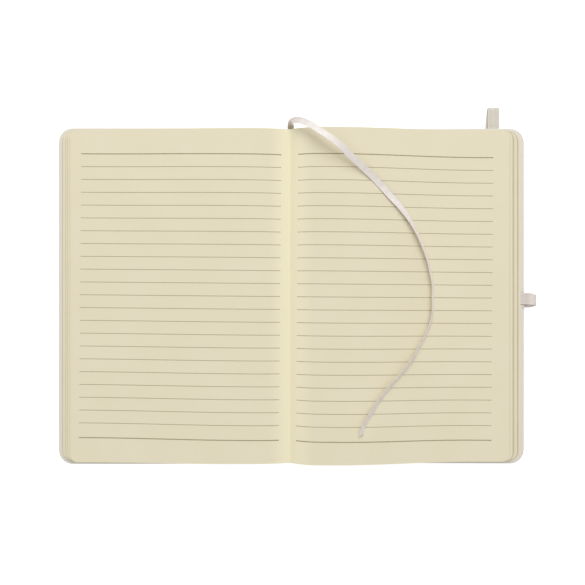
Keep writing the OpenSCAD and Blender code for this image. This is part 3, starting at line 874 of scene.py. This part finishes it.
def makePenLoop():
    u, z, r, skew = (penLoop[k] for k in ("centreU", "centreZ", "radius", "skew"))
    pinch = penLoop["pinch"]
    route = [(125.2, -skew, 2.15, 1), (134, -skew, 2.15, 1), (136.2, -skew, 2.5, 1),
             (137.4, -skew, 3.1, 1), (138.5, -skew, 3.1, 1)]
    for angle, share, size in ((205, 1, 1), (235, 1, 1), (270, 1, 1), (300, 0.95, 0.97),
                               (330, 0.95, 0.84), (0, 0.82, pinch), (28, 0.66, 0.82),
                               (56, 0.45, 0.9), (84, 0.24, 0.97)):
        turn = math.radians(angle)
        route.append((u + r * math.cos(turn), -skew * share,
                      z + (r + penLoop["taller"]) * math.sin(turn), size))
    route += [(140.9, -0.1 * skew, 6.75, 1), (139.6, 0, 5.9, 1), (138.4, 0, 4.75, 1),
              (137.3, 0, 3.85, 1), (136.2, 0, 3.1, 1), (134, 0, 2.65, 1), (125.2, 0, 2.65, 1)]
    path = [(p[0], penLoop["y"] + p[1], *p[2:]) for p in curveThrough(route, 5)]
    material = elasticWebbing("knittedElasticLoop", webbing["loopColour"], webbing["loopShade"])
    piece = makeStrip("penLoop", path, Vector((0, 1, 0)), penLoop["width"], penLoop["thickness"],
                      material, "back_cover")
    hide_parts("pen_loop")


makeBand()
makePenLoop()
print("elastic made")


# Boards, spine strip and lining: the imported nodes, hidden inside, with their own finishes
inside = dict(
    boardColour="#A89F8C", boardFleck="#8E8470", liningColour="#E8E4D8", liningFleck="#D6D0C0",
)


def pressedFibre(name, colour, fleckColour, grain, roughness):
    # pressed fibre board or lining paper: dull, with coarse flecks of uneven pulp
    material, tree, shader = startMaterial(name, {"IOR": 1.5, "Specular IOR Level": 0.25})
    place = addNode(tree, "ShaderNodeTexCoord")
    size = addNode(tree, "ShaderNodeVectorMath", {
        "operation": "SCALE", "Scale": 1000.0}, {0: place.outputs["Object"]})
    pulp = addNode(tree, "ShaderNodeTexNoise", {
        "Scale": 1 / grain, "Detail": 5}, {"Vector": size.outputs[0]})
    amount = addNode(tree, "ShaderNodeMapRange", {
        "From Min": 0.4, "From Max": 0.7}, {"Value": pulp.outputs["Fac"]})
    mixed = addNode(tree, "ShaderNodeMix", {
        "data_type": "RGBA", 6: linear(colour), 7: linear(fleckColour)}, {0: amount.outputs[0]})
    rough = addNode(tree, "ShaderNodeMapRange", {
        "To Min": roughness - 0.05, "To Max": roughness + 0.05}, {"Value": pulp.outputs["Fac"]})
    bump = addNode(tree, "ShaderNodeBump", {
        "Strength": 0.4, "Distance": 0.00005}, {"Height": pulp.outputs["Fac"]})
    tree.links.new(mixed.outputs[2], shader.inputs["Base Color"])
    tree.links.new(rough.outputs[0], shader.inputs["Roughness"])
    tree.links.new(bump.outputs["Normal"], shader.inputs["Normal"])
    return material


millboard = pressedFibre("greyMillboard", inside["boardColour"], inside["boardFleck"], 1.5, 0.9)
liningPaper = pressedFibre("gluedLiningPaper", inside["liningColour"], inside["liningFleck"],
                           0.9, 0.85)
for nodeName, material in (("front_board", millboard), ("back_board", millboard),
                           ("spine_strip", millboard), ("spine_lining", liningPaper)):
    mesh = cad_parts[nodeName].data
    mesh.materials.clear()
    mesh.materials.append(material)
print("hidden boards finished")


# Floor, world and lamps
studio = dict(
    floorColour="#DADAD9", floorGlow=0.66, worldLight=0.49, keyPower=25.5, keySize=1.5,
    keyPlace=(0.1, 1.35, 1.45), fillPower=8, fillPlace=(-0.2, -1.8, 1.7), fillSize=1.6,
    floorZ=-0.00003,
)


def seenRays(tree):
    # 1 for rays that show the white background: straight ones, reflections and through glass
    rays = addNode(tree, "ShaderNodeLightPath")
    seen = addNode(tree, "ShaderNodeMath", {"operation": "MAXIMUM"}, {
        0: rays.outputs["Is Camera Ray"], 1: rays.outputs["Is Glossy Ray"]})
    seenToo = addNode(tree, "ShaderNodeMath", {"operation": "MAXIMUM"}, {
        0: seen.outputs[0], 1: rays.outputs["Is Transmission Ray"]})
    return seenToo.outputs[0]


def makeStudio():
    mesh = bpy.data.meshes.new("floor")
    mesh.from_pydata([(-3, -3, 0), (3, -3, 0), (3, 3, 0), (-3, 3, 0)], [], [(0, 1, 2, 3)])
    floor = bpy.data.objects.new("floor", mesh)
    floor.location.z = studio["floorZ"]  # a hair under the object
    bpy.context.scene.collection.objects.link(floor)
    material = bpy.data.materials.new("paintedFloor")
    material.use_nodes = True
    tree = material.node_tree
    tree.nodes.clear()
    matt = addNode(tree, "ShaderNodeBsdfDiffuse", {"Color": linear(studio["floorColour"])})
    amount = addNode(tree, "ShaderNodeMath", {
        "operation": "MULTIPLY", 1: studio["floorGlow"]}, {0: seenRays(tree)})
    glow = addNode(tree, "ShaderNodeEmission", {}, {"Strength": amount.outputs[0]})
    both = addNode(tree, "ShaderNodeAddShader", {}, {
        0: matt.outputs[0], 1: glow.outputs[0]})
    addNode(tree, "ShaderNodeOutputMaterial", {}, {"Surface": both.outputs[0]})
    mesh.materials.append(material)

    world = bpy.data.worlds.new("studioWorld")
    bpy.context.scene.world = world
    world.use_nodes = True
    tree = world.node_tree
    tree.nodes.clear()
    strength = addNode(tree, "ShaderNodeMapRange", {
        "To Min": studio["worldLight"], "To Max": 1.0}, {"Value": seenRays(tree)})
    sky = addNode(tree, "ShaderNodeBackground", {"Color": (1, 1, 1, 1)},
                  {"Strength": strength.outputs[0]})
    addNode(tree, "ShaderNodeOutputWorld", {}, {"Surface": sky.outputs[0]})

    for name, power, place, size in (
        ("keyLamp", studio["keyPower"], studio["keyPlace"], studio["keySize"]),
        ("fillLamp", studio["fillPower"], studio["fillPlace"], studio["fillSize"]),
    ):
        data = bpy.data.lights.new(name, "AREA")
        data.energy = power
        data.size = size
        lamp = bpy.data.objects.new(name, data)
        lamp.location = place
        lamp.rotation_mode = "QUATERNION"
        lamp.rotation_quaternion = (-Vector(place)).to_track_quat("-Z", "Y")
        bpy.context.scene.collection.objects.link(lamp)
    bpy.context.scene.view_settings.view_transform = "Standard"


makeStudio()
print("studio made")
